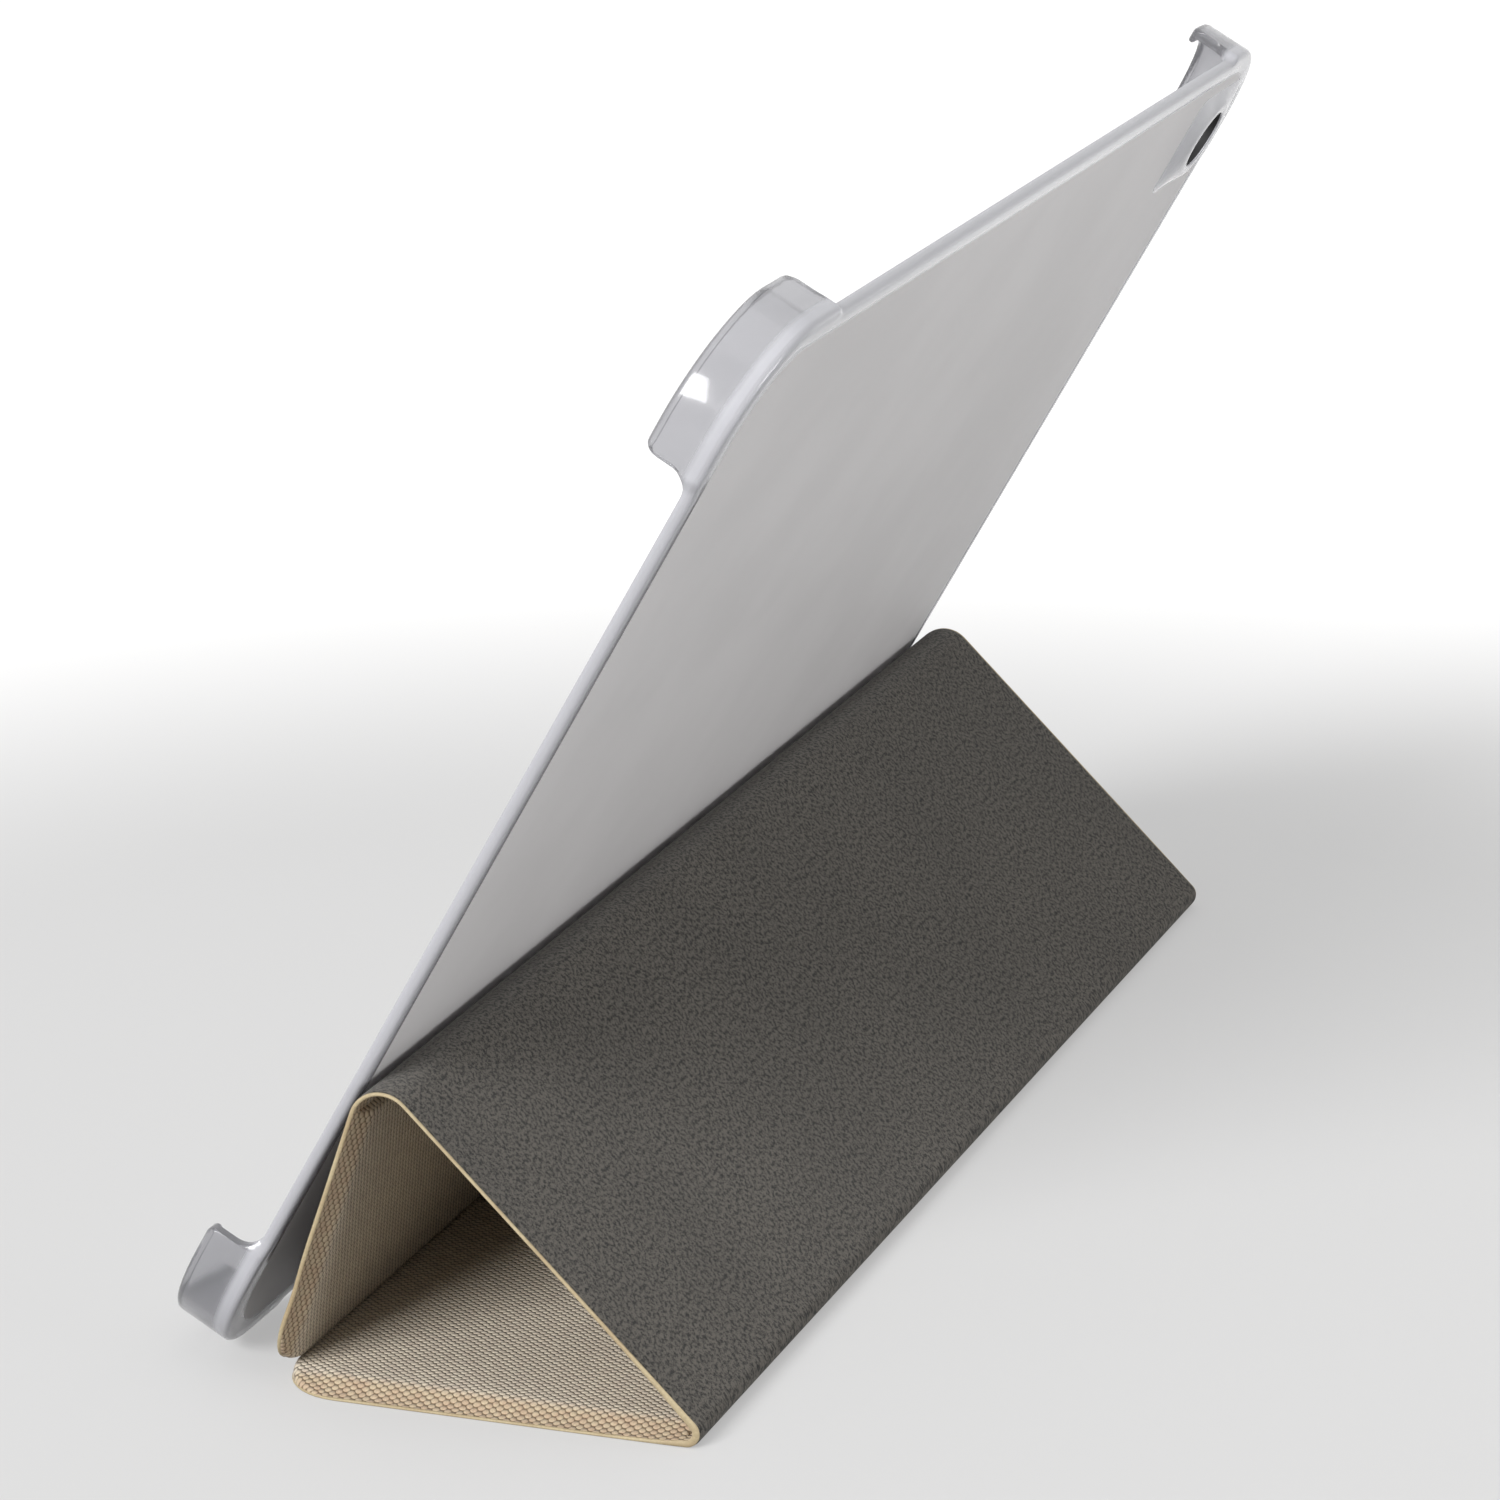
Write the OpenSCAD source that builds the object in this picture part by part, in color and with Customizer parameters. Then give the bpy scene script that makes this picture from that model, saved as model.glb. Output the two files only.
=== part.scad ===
// Tri-fold stand case: a clear tray on a cloth spine, and a three-panel cover folded into a prism.
// Millimetres. The origin is the centre of the base panel's underside, +Z up, +X to the near end,
// +Y away from the tray. Each panel is drawn flat, lining face at z = 0, and then folded into place.

/* [Tablet] */
// Length of the tablet that the tray fits
tablet_len = 248.6; // [200:0.1:300]
// Width of the tablet that the tray fits
tablet_wid = 179.5; // [140:0.1:230]
// Thickness of the tablet that the tray fits
tablet_thick = 7.0; // [5.5:0.1:9]
// Corner radius of the tablet
tablet_corner_r = 16; // [8:0.5:24]

/* [Tray] */
// Gap between the tablet and the walls of the tray
bay_clear = 0.2; // [0.1:0.05:0.5]
// Thickness of the back plate
plate_t = 1.3; // [1:0.1:2]
// Thickness of the corner walls
cap_wall = 1.6; // [1.2:0.1:2.5]
// Thickness of the low rim between the corners
rim_wall = 0.6; // [0.4:0.1:1]
// Height of the low rim over the back plate
rim_h = 0.5; // [0.3:0.1:2]
// Thickness of the lip over the tablet's face
lip_t = 1.0; // [0.8:0.1:1.6]
// Reach of the lip over the tablet's face
lip_reach = 1.0; // [0.5:0.1:2]
// Length of the two corner walls at the near end, along the long edges
cap_long_near = 25; // [20:0.5:40]
// Length of the two corner walls at the far end, along the long edges
cap_long_far = 19.5; // [17:0.5:40]
// Length of the corner walls along the short edges
cap_short = 20.5; // [17:0.5:40]
// Radius where a corner wall runs down into the low rim
cap_fillet_r = 3.5; // [1.5:0.5:5]
// Angle of the tray from the floor
tray_angle = 60; // [55:0.5:66]
// Gap between the back of the tray and the ridge that it leans on
lean_gap = 0.5; // [0.3:0.1:1]
// Height of the tablet's lower back edge over the floor
tray_lift = 2.3; // [2.2:0.1:4]

/* [Camera window] */
// Diameter of the camera window
window_d = 10.6; // [8:0.2:12]
// Length of the raised collar round the window, at the plate
collar_len = 25; // [20:0.5:28]
// Width of the collar at the plate
collar_wid = 18.5; // [17:0.5:22]
// Radius of the collar's corners at the plate
collar_corner_r = 3; // [2:0.5:8]
// Diameter of the collar at its round crest
collar_crest_d = 14; // [13:0.5:16]
// Height of the collar over the plate
collar_h = 1.4; // [0.8:0.1:2.5]
// Distance of the window's centre from the tablet's far short edge
window_from_end = 17; // [16.5:0.1:40]
// Distance of the window's centre from the tablet's top long edge
window_from_top = 14.5; // [13.9:0.1:30]

/* [Cover] */
// Length of the cover along the folds
cover_len = 256; // [210:0.5:310]
// Depth of the base panel, from its hinge edge to the first fold
base_depth = 64; // [58:0.1:70]
// Length of the sloping panel between the folds, along its inner face
slope_len = 65.2; // [60:0.1:70]
// Angle of the sloping panel from the floor
slope_angle = 44.8; // [42:0.1:47]
// Distance of the leaning panel's foot from the base's hinge edge
foot_inset = 1.35; // [1:0.05:4]
// Gap between the leaning panel's foot and the base
foot_gap = 0.35; // [0.3:0.05:0.6]
// Radius of the cover's four free corners
cover_corner_r = 10; // [5:0.5:14]
// Outside radius of the soft ridge between the sloping and leaning panels
ridge_r = 5.2; // [4:0.1:6]
// Gap between the panel ends and the soft folds
fold_gap = 0.1; // [0.05:0.05:0.3]

/* [Layers] */
// Thickness of the microfibre lining
lining_t = 0.6; // [0.4:0.1:1]
// Thickness of the stiff boards
board_t = 1.1; // [1:0.1:1.6]
// Thickness of the woven canvas
canvas_t = 0.6; // [0.4:0.1:1]
// Width of the edge paint round the lining
trim_w = 0.8; // [0.5:0.1:1.5]
// Width of the canvas turned down round the boards
turn_w = 1.0; // [0.8:0.1:1.5]
// Gap between a board and the canvas round it
board_gap = 0.1; // [0.05:0.05:0.3]

/* [Spine] */
// Length of the spine and its flap along the hinge
spine_len = 180; // [120:1:190]
// Thickness of the cloth on each side of the spine
spine_cloth_t = 0.35; // [0.25:0.05:0.5]
// Thickness of the strip inside the spine
spine_strip_t = 0.4; // [0.3:0.05:0.6]
// Bare cloth between the spine and each of its two fold lines
hinge_gap = 0.75; // [0.7:0.05:1]
// Width of the flap bonded to the back plate
flap_w = 12; // [8:0.5:20]
// Thickness of the flap
flap_t = 0.6; // [0.4:0.1:0.8]
// Distance of the flap and the plate's hinge notch from the tablet's lower edge
flap_start = 0.3; // [0.2:0.1:1]

/* [Magnets and keepers] */
// Number of magnets along the leaning panel's foot
magnet_count = 6; // [2:1:8]
// Length of one magnet
magnet_len = 20; // [10:1:24]
// Width of one magnet
magnet_wid = 5; // [3:0.5:8]
// Thickness of one magnet
magnet_t = 0.9; // [0.6:0.1:1]
// Distance between the magnets' centres
magnet_pitch = 40; // [26:1:44]
// Distance of the magnets from the edge of their board
magnet_inset = 2; // [1:0.5:6]
// Number of steel keepers in the base
keeper_count = 3; // [1:1:4]
// Length of one steel keeper
keeper_len = 56; // [20:1:60]
// Width of one steel keeper
keeper_wid = 7; // [4:0.5:12]
// Thickness of one steel keeper
keeper_t = 0.6; // [0.4:0.1:1]
// Distance between the keepers' centres
keeper_pitch = 74; // [62:1:80]
// Diameter of the two sleep and wake magnets
wake_d = 8; // [5:0.5:12]
// Distance of each wake magnet from the middle of the cover
wake_from_middle = 104; // [80:1:112]
// Distance of the wake magnets from the ridge end of their board
wake_inset = 14; // [8:1:24]

/* [Hidden] */
round_fn = 96;
hull_fn = 32;
eps = 0.01;
// Radius of the tray's rolled back edge
back_roll = 0.9;
// How far the feet of the wall openings and the collar sink into the plate
foot_sink = 0.2;
collar_sink = 0.3;

// Layers of a panel, from its lining face at z = 0
board_z = lining_t;
canvas_z = lining_t + board_t;
panel_t = lining_t + board_t + canvas_t;

// The canvas doesn't stretch, so its glued face is the line that every fold turns about
front_half = slope_angle / 2;
front_reach = canvas_t / tan(front_half);
hinge_edge_y = -base_depth / 2;
front_inner_y = base_depth / 2;
front_axis = [front_inner_y + front_reach, canvas_z];
slope_dir = 180 - slope_angle;

// The ridge, where the inner faces of the sloping and leaning panels would meet
ridge_inner = [front_inner_y + slope_len * cos(slope_dir), panel_t + slope_len * sin(slope_dir)];
foot_y = hinge_edge_y + foot_inset;
lean_angle = atan2(ridge_inner[1] - panel_t, ridge_inner[0] - foot_y);
lean_dir = 180 + lean_angle;
lean_len = (ridge_inner[1] - panel_t) / sin(lean_angle);
ridge_half = (180 - slope_angle - lean_angle) / 2;
ridge_reach = canvas_t / tan(ridge_half);
ridge_cut = (ridge_r - panel_t) / tan(ridge_half);
slope_start = front_reach + fold_gap;
slope_end = front_reach + slope_len - ridge_cut - fold_gap;
ridge_y = front_reach + slope_len + ridge_reach;
ridge_axis = front_axis + ridge_y * [cos(slope_dir), sin(slope_dir)];
lean_start = ridge_reach + ridge_cut + fold_gap;
lean_end = ridge_reach + lean_len - foot_gap / sin(lean_angle);

// Centre of the ridge's roll, measured from the crossing of the inner faces into the prism
ridge_bisector = slope_dir + 180 - ridge_half;
ridge_centre = ridge_inner + (ridge_r - panel_t) / sin(ridge_half)
               * [cos(ridge_bisector), sin(ridge_bisector)];

// The tray leans on the ridge: tray_y puts its back at lean_gap from the roll
tray_back = ridge_r + lean_gap + plate_t;
tray_y = ridge_centre[0]
         - (tray_back + (ridge_centre[1] - tray_lift) * cos(tray_angle)) / sin(tray_angle);
cap_out = bay_clear + cap_wall;
rim_out = bay_clear + rim_wall;
bay_h = tablet_thick + bay_clear;
tray_top = bay_h + lip_t;
window_x = -tablet_len / 2 + window_from_end;
window_s = tablet_wid - window_from_top;

// Spine: a flat strip on the floor, between the flap's fold and the base panel's edge
spine_t = 2 * spine_cloth_t + spine_strip_t;
spine_floor = 0.05;
spine_axis_z = spine_floor + spine_t / 2;
flap_mid = -plate_t - flap_t / 2;
flap_fold_s = (spine_axis_z - tray_lift - flap_mid * cos(tray_angle)) / sin(tray_angle);
tray_fold_y = tray_y + flap_fold_s * cos(tray_angle) - flap_mid * sin(tray_angle);
base_fold_y = hinge_edge_y - hinge_gap;
spine_w = base_fold_y - tray_fold_y - 2 * hinge_gap;

keeper_y = hinge_edge_y + turn_w + board_gap + magnet_inset;
board_end = lean_end - turn_w - board_gap;

// ---- places ----

module in_tray() {
    translate([0, tray_y, tray_lift]) rotate([tray_angle, 0, 0]) children();
}

module in_slope() {
    translate([0, front_axis[0], front_axis[1]]) rotate([slope_dir, 0, 0])
        translate([0, 0, -canvas_z]) children();
}

module in_lean() {
    translate([0, ridge_axis[0], ridge_axis[1]]) rotate([lean_dir, 0, 0])
        translate([0, 0, -canvas_z]) children();
}

// ---- outlines ----

// Rectangle of the tablet's outline grown by grow, its corners with it
module tablet_outline(grow) {
    r = tablet_corner_r + grow;
    l = tablet_len + 2 * grow;
    w = tablet_wid + 2 * grow;
    translate([-l / 2 + r, -grow]) square([l - 2 * r, w]);
    translate([-l / 2, -grow + r]) square([l, w - 2 * r]);
    for (x = [-1, 1], y = [r - grow, w - grow - r])
        translate([x * (l / 2 - r), y]) circle(r);
}

// Panel between y0 and y1. round_0 and round_1 say which ends are free edges with round corners.
// inset draws in the free edges, and the ends that meet a fold by fold_inset
module panel_outline(y0, y1, round_0, round_1, inset = 0, fold_inset = 0) {
    l = cover_len / 2 - inset;
    a = y0 + (round_0 ? inset : fold_inset);
    b = y1 - (round_1 ? inset : fold_inset);
    r = max(cover_corner_r - inset, 1);
    ra = round_0 ? r : 0;
    rb = round_1 ? r : 0;
    translate([-l, a + ra]) square([2 * l, b - a - ra - rb]);
    if (round_0) {
        translate([-l + r, a]) square([2 * (l - r), r + eps]);
        for (x = [-1, 1]) translate([x * (l - r), a + r]) circle(r);
    }
    if (round_1) {
        translate([-l + r, b - r - eps]) square([2 * (l - r), r + eps]);
        for (x = [-1, 1]) translate([x * (l - r), b - r]) circle(r);
    }
}

// ---- layers of a panel ----

module panel_lining(y0, y1, round_0, round_1) {
    linear_extrude(lining_t)
        panel_outline(y0, y1, round_0, round_1, trim_w, $fn = round_fn);
}

module panel_edge(y0, y1, round_0, round_1) {
    linear_extrude(lining_t) difference() {
        panel_outline(y0, y1, round_0, round_1, $fn = round_fn);
        panel_outline(y0 - (round_0 ? 0 : 1), y1 + (round_1 ? 0 : 1), round_0, round_1, trim_w,
                      $fn = round_fn);
    }
}

module panel_board(y0, y1, round_0, round_1) {
    translate([0, 0, board_z]) linear_extrude(board_t)
        panel_outline(y0, y1, round_0, round_1, turn_w + board_gap, $fn = round_fn);
}

// The canvas lies over the board and rolls down round it at the free edges
module panel_canvas(y0, y1, round_0, round_1) {
    roll = canvas_t + board_t / 2;
    difference() {
        hull() {
            for (a = [0, 30, 60, 90])
                translate([0, 0, panel_t - roll * (1 - sin(a)) - (a == 90 ? eps : 0)])
                    linear_extrude(eps)
                        panel_outline(y0, y1, round_0, round_1, roll * (1 - cos(a)),
                                      $fn = hull_fn);
            translate([0, 0, lining_t]) linear_extrude(eps)
                panel_outline(y0, y1, round_0, round_1, $fn = hull_fn);
        }
        translate([0, 0, board_z - 1]) linear_extrude(board_t + 1)
            panel_outline(y0 - (round_0 ? 0 : 1), y1 + (round_1 ? 0 : 1), round_0, round_1,
                          turn_w, $fn = hull_fn);
    }
}

// A sector of a soft fold, about x through centre, from angle a0 through turn
module fold_sector(centre, r_in, r_out, a0, turn, half_len) {
    steps = ceil(turn / 6);
    arc = [for (i = [0:steps]) a0 + turn * i / steps];
    translate([-half_len, centre[0], centre[1]])
        rotate([90, 0, 90]) linear_extrude(2 * half_len)
            polygon(concat([for (a = arc) r_out * [cos(a), sin(a)]],
                           [for (i = [steps:-1:0]) r_in * [cos(arc[i]), sin(arc[i])]]));
}

// ---- tray ----

// A slab on the tablet's outline grown by grow, from the back of the plate up to z1, with a rolled
// back edge and a front edge that is cut off by soften
module rolled_slab(grow, z1, soften) {
    r = tablet_corner_r + grow;
    roll = [for (a = [0, 30, 60, 90])
            [r - back_roll * (1 - sin(a)), -plate_t + back_roll * (1 - cos(a))]];
    front = [[r, z1 - soften], [r - soften, z1]];
    hull()
        for (x = [-1, 1] * (tablet_len / 2 + grow - r), y = [r - grow, tablet_wid + grow - r])
            translate([x, y, 0]) rotate_extrude($fn = 2 * hull_fn)
                polygon(concat([[0, -plate_t]], roll, front, [[0, z1]]));
}

// Outside of the tray's corners
module cap_body() {
    rolled_slab(cap_out, tray_top, lip_t / 2);
}

// Back plate with its low rim
module plate_body() {
    rolled_slab(rim_out, rim_h, rim_h / 4);
}

// Opening between two corner walls from a to b along x: it rises from the low rim with round feet,
// and below that it clears the wall's skin away down to the low rim's own
module wall_gap(a, b) {
    r = cap_fillet_r;
    reach = cap_out + lip_reach + 1;
    foot = rim_h - foot_sink;
    rotate([90, 0, 0]) linear_extrude(2 * reach, center = true, $fn = 48) {
        translate([a + r, foot]) square([b - a - 2 * r, tray_top]);
        translate([a, foot + r]) square([b - a, tray_top]);
        for (x = [a + r, b - r]) translate([x, foot + r]) circle(r);
    }
    translate([a + r / 2, -reach, -plate_t - 1]) cube([b - a - r, 2 * reach, plate_t + 1 + rim_h]);
}

module corner_walls() {
    difference() {
        cap_body();
        for (top = [0, 1])
            translate([0, top * tablet_wid, 0]) mirror([0, top, 0])
                wall_gap(-tablet_len / 2 + cap_long_far, tablet_len / 2 - cap_long_near);
        for (side = [0, 1])
            mirror([side, 0, 0]) translate([tablet_len / 2, 0, 0]) rotate([0, 0, 90])
                wall_gap(cap_short, tablet_wid - cap_short);
    }
}

// Raised collar round the camera window, on the back of the plate: square at its foot, round at
// its crest
module collar() {
    foot = collar_sink + 0.2;
    top = collar_sink + collar_h;
    bevel = collar_h / 4;
    r = collar_corner_r;
    translate([window_x, window_s, -plate_t + collar_sink]) mirror([0, 0, 1]) hull() {
        for (x = [-1, 1] * (collar_len / 2 - r), y = [-1, 1] * (collar_wid / 2 - r))
            translate([x, y, 0]) cylinder(r = r, h = foot, $fn = hull_fn);
        translate([0, 0, top - bevel])
            cylinder(d1 = collar_crest_d + 2 * bevel, d2 = collar_crest_d, h = bevel,
                     $fn = 2 * hull_fn);
    }
}

module back_shell() {
    color([0.72, 0.73, 0.75, 0.55]) in_tray() difference() {
        union() {
            plate_body();
            corner_walls();
            collar();
        }
        linear_extrude(bay_h) tablet_outline(bay_clear, $fn = round_fn);
        translate([0, 0, bay_h / 2]) linear_extrude(tray_top)
            tablet_outline(-lip_reach, $fn = round_fn);
        translate([window_x, window_s, -plate_t - collar_h - 1])
            cylinder(d = window_d, h = plate_t + collar_h + 2, $fn = round_fn);
        // the spine folds up here, past the plate's lower edge
        translate([-spine_len / 2 - 1, -cap_out - 1, -plate_t - 1])
            cube([spine_len + 2, cap_out + 1, plate_t + rim_h + 2]);
    }
}

module hinge_flap() {
    color("tan") in_tray() translate([-spine_len / 2, flap_start, -plate_t - flap_t])
        cube([spine_len, flap_w, flap_t]);
}

// ---- spine ----

module spine_layer(z, t) {
    translate([-spine_len / 2, tray_fold_y + hinge_gap, spine_floor + z])
        cube([spine_len, spine_w, t]);
}

module spine_lining() {
    color([0.30, 0.29, 0.27]) spine_layer(0, spine_cloth_t);
}

module spine_strip() {
    color("gray") spine_layer(spine_cloth_t, spine_strip_t);
}

module spine_canvas() {
    color("tan") spine_layer(spine_cloth_t + spine_strip_t, spine_cloth_t);
}

// ---- base panel ----

module base_canvas() {
    color("tan") panel_canvas(hinge_edge_y, front_inner_y - fold_gap, true, false);
}

module base_board() {
    color("gray") difference() {
        panel_board(hinge_edge_y, front_inner_y - fold_gap, true, false);
        keeper_row(0.1);
    }
}

module base_lining() {
    color([0.30, 0.29, 0.27]) panel_lining(hinge_edge_y, front_inner_y - fold_gap, true, false);
}

module base_edge() {
    color([0.80, 0.74, 0.62]) panel_edge(hinge_edge_y, front_inner_y - fold_gap, true, false);
}

// Steel strips let into the top of the base board, under the leaning panel's magnets
module keeper_row(grow) {
    for (i = [0:keeper_count - 1])
        translate([(i - (keeper_count - 1) / 2) * keeper_pitch - keeper_len / 2 - grow,
                   keeper_y - grow, canvas_z - keeper_t])
            cube([keeper_len + 2 * grow, keeper_wid + 2 * grow, keeper_t + grow]);
}

module base_keepers() {
    color("silver") keeper_row(0);
}

// ---- sloping panel ----

module slope_canvas() {
    color("tan") in_slope() panel_canvas(slope_start, slope_end, false, false);
}

module slope_board() {
    color("gray") in_slope() panel_board(slope_start, slope_end, false, false);
}

module slope_lining() {
    color([0.30, 0.29, 0.27]) in_slope() panel_lining(slope_start, slope_end, false, false);
}

module slope_edge() {
    color([0.80, 0.74, 0.62]) in_slope() panel_edge(slope_start, slope_end, false, false);
}

// ---- leaning panel ----

module lean_canvas() {
    color("tan") in_lean() panel_canvas(lean_start, lean_end, false, true);
}

module lean_board() {
    color("gray") in_lean() difference() {
        panel_board(lean_start, lean_end, false, true);
        magnet_row(0.1);
        wake_pair(0.1);
    }
}

module lean_lining() {
    color([0.30, 0.29, 0.27]) in_lean() panel_lining(lean_start, lean_end, false, true);
}

module lean_edge() {
    color([0.80, 0.74, 0.62]) in_lean() panel_edge(lean_start, lean_end, false, true);
}

// Bar magnets along the foot of the leaning panel
module magnet_row(grow) {
    for (i = [0:magnet_count - 1])
        translate([(i - (magnet_count - 1) / 2) * magnet_pitch - magnet_len / 2 - grow,
                   board_end - magnet_inset - magnet_wid - grow, canvas_z - magnet_t])
            cube([magnet_len + 2 * grow, magnet_wid + 2 * grow, magnet_t + grow]);
}

// Disc magnets that put the tablet to sleep when the cover is shut
module wake_pair(grow) {
    for (side = [-1, 1])
        translate([side * wake_from_middle, lean_start + wake_inset, canvas_z - magnet_t])
            cylinder(d = wake_d + 2 * grow, h = magnet_t + grow, $fn = round_fn);
}

module foot_magnets() {
    color("silver") in_lean() magnet_row(0);
}

module wake_magnets() {
    color("silver") in_lean() wake_pair(0);
}

// ---- soft folds ----

// The front fold turns about the crossing of the inner faces, from straight down to the slope
module front_fold_canvas() {
    color("tan") fold_sector([front_inner_y, panel_t], 0.1, board_t + canvas_t, -90, slope_dir,
                             cover_len / 2);
}

module front_fold_lining() {
    color([0.30, 0.29, 0.27]) fold_sector([front_inner_y, panel_t], board_t + canvas_t, panel_t,
                                          -90, slope_dir, cover_len / 2);
}

// The ridge rolls from the sloping panel to the leaning one
module ridge_canvas() {
    color("tan") fold_sector(ridge_centre, ridge_r - panel_t, ridge_r - lining_t,
                             90 - slope_angle, slope_angle + lean_angle, cover_len / 2);
}

module ridge_lining() {
    color([0.30, 0.29, 0.27]) fold_sector(ridge_centre, ridge_r - lining_t, ridge_r,
                                          90 - slope_angle, slope_angle + lean_angle,
                                          cover_len / 2);
}

back_shell();
hinge_flap();
spine_canvas();
spine_strip();
spine_lining();
base_canvas();
base_board();
base_lining();
base_edge();
base_keepers();
slope_canvas();
slope_board();
slope_lining();
slope_edge();
lean_canvas();
lean_board();
lean_lining();
lean_edge();
foot_magnets();
wake_magnets();
front_fold_canvas();
front_fold_lining();
ridge_canvas();
ridge_lining();
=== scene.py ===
"""Looks of the tri-fold stand case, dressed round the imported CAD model.

Lengths are in millimetres, as in the CAD, until a mesh is made. Every panel of the cover is drawn
flat first, lining face at z = 0 and canvas face at z = PANEL_T, and then folded into its place.
"""
import math

import bmesh
import bpy
import numpy as np
from mathutils import Matrix, Quaternion, Vector


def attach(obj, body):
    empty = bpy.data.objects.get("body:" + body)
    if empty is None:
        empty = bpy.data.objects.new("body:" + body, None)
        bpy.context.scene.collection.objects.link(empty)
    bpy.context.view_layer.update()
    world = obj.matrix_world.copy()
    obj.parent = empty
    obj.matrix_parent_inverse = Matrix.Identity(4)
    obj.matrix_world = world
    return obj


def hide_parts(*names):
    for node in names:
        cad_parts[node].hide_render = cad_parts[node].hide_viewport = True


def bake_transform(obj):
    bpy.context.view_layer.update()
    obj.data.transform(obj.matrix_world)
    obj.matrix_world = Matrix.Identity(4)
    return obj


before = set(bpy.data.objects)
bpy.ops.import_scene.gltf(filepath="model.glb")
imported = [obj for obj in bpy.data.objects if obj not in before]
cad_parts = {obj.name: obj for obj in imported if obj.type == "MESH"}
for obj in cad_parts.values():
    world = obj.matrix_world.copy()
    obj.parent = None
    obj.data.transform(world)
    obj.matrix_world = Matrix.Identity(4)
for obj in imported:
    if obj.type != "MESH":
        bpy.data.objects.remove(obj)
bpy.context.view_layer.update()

MM = 0.001

# ---- sizes of the CAD model ----
TABLET_LEN = 248.6
TABLET_WID = 179.5
TABLET_CORNER = 16
BAY_CLEAR = 0.2
PLATE_T = 1.3
RIM_OUT = 0.8
RIM_H = 0.5
CAP_OUT = 1.8
BAY_H = 7.2
TRAY_TOP = 8.2
LIP_REACH = 1.0
CAP_LONG_NEAR = 25
CAP_LONG_FAR = 19.5
CAP_SHORT = 20.5
CAP_FILLET = 3.5
BACK_ROLL = 0.9
TRAY_ANGLE = 60
TRAY_Y = -44.6284
TRAY_LIFT = 2.3

WINDOW_D = 10.6
WINDOW_X = -107.3
WINDOW_S = 165
COLLAR_LEN = 25
COLLAR_WID = 18.5
COLLAR_CORNER = 3
COLLAR_CREST_D = 14
COLLAR_H = 1.4

COVER_LEN = 256
HALF = COVER_LEN / 2
COVER_CORNER = 10
LINING_T = 0.6
BOARD_T = 1.1
CANVAS_T = 0.6
CANVAS_Z = LINING_T + BOARD_T
PANEL_T = CANVAS_Z + CANVAS_T
FOLD_GAP = 0.1
BASE_Y = (-32, 32)
SLOPE_Y = (1.556, 61.989)
LEAN_Y = (5.612, 49.350)
SLOPE_DIR = 135.2
LEAN_DIR = 250.3704
FRONT_AXIS = (33.4557, 1.7)
RIDGE_AXIS = (-14.5117, 49.3337)
RIDGE_REACH = 67.6
FRONT_CENTRE = (32, 2.3)
RIDGE_CENTRE = (-13.0668, 42.9663)
RIDGE_R = 5.2
FRONT_ARC = (-90, 45.2)
RIDGE_ARC = (45.2, 160.3704)

SPINE_LEN = 180
SPINE_Y = (-43.0124, -33.5)
SPINE_Z = (0.05, 0.4, 0.8, 1.15)
SPINE_AXIS_Z = 0.6
TRAY_FOLD_Y = -43.7624
FLAP_S = (0.3, 12.3)
FLAP_T = (-1.9, -1.3)

# ---- sizes of the finish ----
ROLL_END = 5.2        # how far in from the cover's ends the canvas is pressed down
ROLL_LONG = 1.0       # the same at the base's back edge and the leaning panel's foot
EDGE_H = 0.5          # height of the painted edge over the lining face
EDGE_FRONT = 0.75     # how much higher it is at the front fold
EDGE_LEAN = 0.25      # how much higher it is on the leaning panel
LINING_IN = 0.35      # how far the lining stops short of the outline
SUEDE_T = 0.36        # thickness of the suede, where it is pressed with the canvas
FOOT_LOW = 0.9        # how far the leaning panel's cloth sags onto the base
BEAD_IN = 0.12        # how far the canvas stops short of the painted edge
BOARD_IN = 3.8        # how far the hidden boards stop short of the cover's ends
BOARD_CUT = 9         # bevel of the boards' free corners
BOARD_BACK = 1.4      # how far they stop short of a free long edge
CREEP_FROM = 110      # how far from the middle the leaning panel's cloth starts to creep
CREEP = [(0.55, 36.5, 4), (-0.2, 28, 5)]   # how far in it creeps, about where, and how widely
FOLD_T = 0.96         # thickness of cloth and lining together at a fold, where there is no board
FOLD_ROLL = 1.2       # how far from a fold the canvas starts to drop to that thickness
FLOAT_X = 0.57        # pitch of the canvas threads along the folds
FLOAT_Y = 0.915       # pitch of the canvas threads along the cover
FLOAT_FULL = (0.88, 0.64)   # share of its pitch that each bump fills, along and across
GRAIN_TURN = 2        # degrees that the canvas is cut off its grain
FROST_IN = 2.3        # how far in from the tablet's outline the plate's frosting starts
FROST_BLUR = 0.15     # half the width of the frosting's edge
COLLAR_CLEAR = 0.3    # width of the polished ring round the collar
STRIP_EDGE = 0.12     # softening of the edges of the spine's and flap's cloth
SHARP_TUBE = 40       # degrees between faces from which a swept piece's edge is sharp
ROUND_STEPS = 64      # points round the camera window and its collar


# ---- meshes ----

def faces_of_grid(rows, cols, first=0, close_rows=False, close_cols=False):
    """Quads of a grid of vertices that starts at index first."""
    faces = []
    for i in range(rows if close_rows else rows - 1):
        for j in range(cols if close_cols else cols - 1):
            a = first + i * cols + j
            b = first + i * cols + (j + 1) % cols
            c = first + (i + 1) % rows * cols + (j + 1) % cols
            d = first + (i + 1) % rows * cols + j
            faces.append((a, b, c, d))
    return faces


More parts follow.
